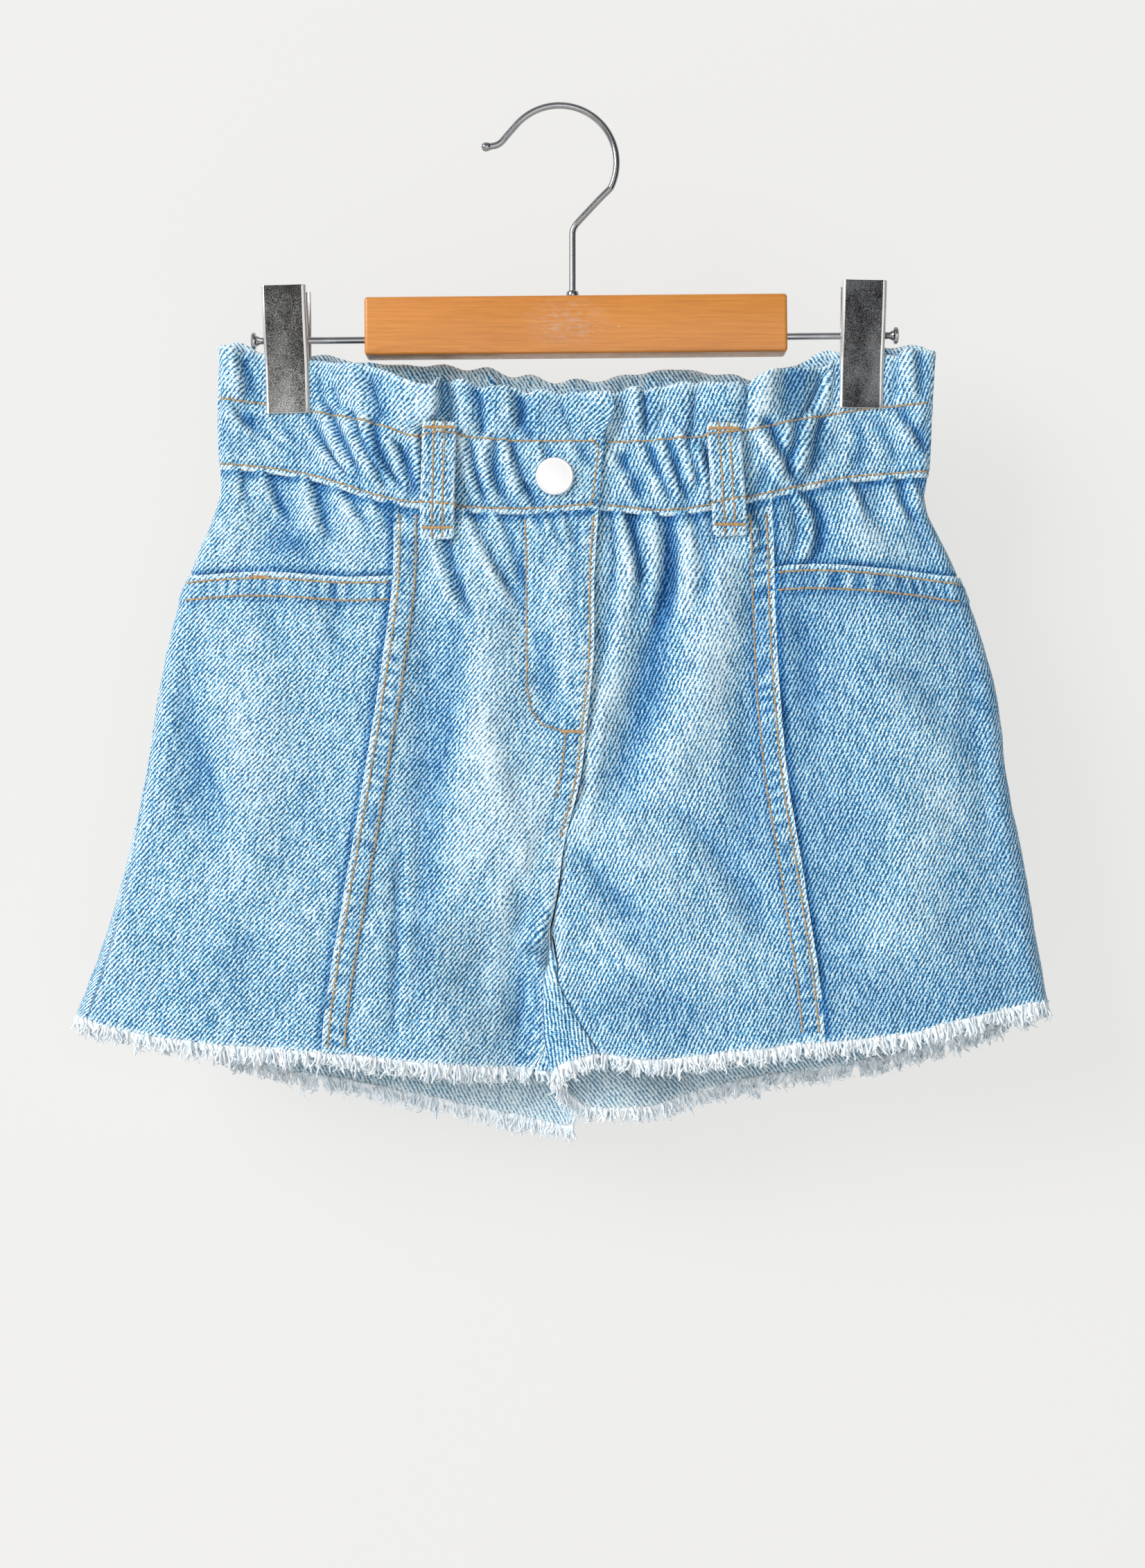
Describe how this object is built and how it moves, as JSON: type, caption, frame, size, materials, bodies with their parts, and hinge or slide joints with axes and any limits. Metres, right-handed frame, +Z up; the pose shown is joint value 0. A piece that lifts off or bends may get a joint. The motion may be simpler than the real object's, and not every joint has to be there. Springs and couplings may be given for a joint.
{
  "type": "denim shorts on a wooden clip hanger",
  "caption": "Frayed-hem denim shorts with a gathered paperbag waist, hanging flat from a wooden clip hanger by its wire hook.",
  "frame": {"origin": "inside of the hook's top, where a rail or peg carries the hanger", "axes": "+Z up, +X to the right as seen from the front, +Y from the garment's front to its back"},
  "size_m": [0.4428, 0.039, 0.4753],
  "materials": {
    "denim": "light washed blue twill with white flecks, worn pale on ridges and seams",
    "frayed_cotton": "loose bleached yarns",
    "wood": "honey varnish, satin, with fine grain",
    "chrome": "polished plating",
    "clip_steel": "dull mottled dark steel with bright bent edges",
    "button_silver": "satin silver plating"
  },
  "bodies": {
    "root": {"waistband_front_left": "denim", "waistband_front_right": "denim", "waistband_back": "denim", "belt_loop_left": "denim", "belt_loop_right": "denim", "belt_loop_back": "denim", "front_centre_left": "denim", "front_centre_right": "denim", "pocket_yoke_left": "denim", "pocket_yoke_right": "denim", "side_panel_left": "denim", "side_panel_right": "denim", "back_left": "denim", "back_right": "denim", "fringe_front_left": "frayed_cotton", "fringe_front_right": "frayed_cotton", "fringe_back_left": "frayed_cotton", "fringe_back_right": "frayed_cotton", "button": "button_silver", "hook": "chrome", "hook_collar": "chrome", "wood_bar": "wood", "rod_left": "chrome", "rod_right": "chrome", "clip_left_front": "clip_steel", "clip_left_back": "clip_steel", "clip_right_front": "clip_steel", "clip_right_back": "clip_steel"}
  },
  "joints": []
}
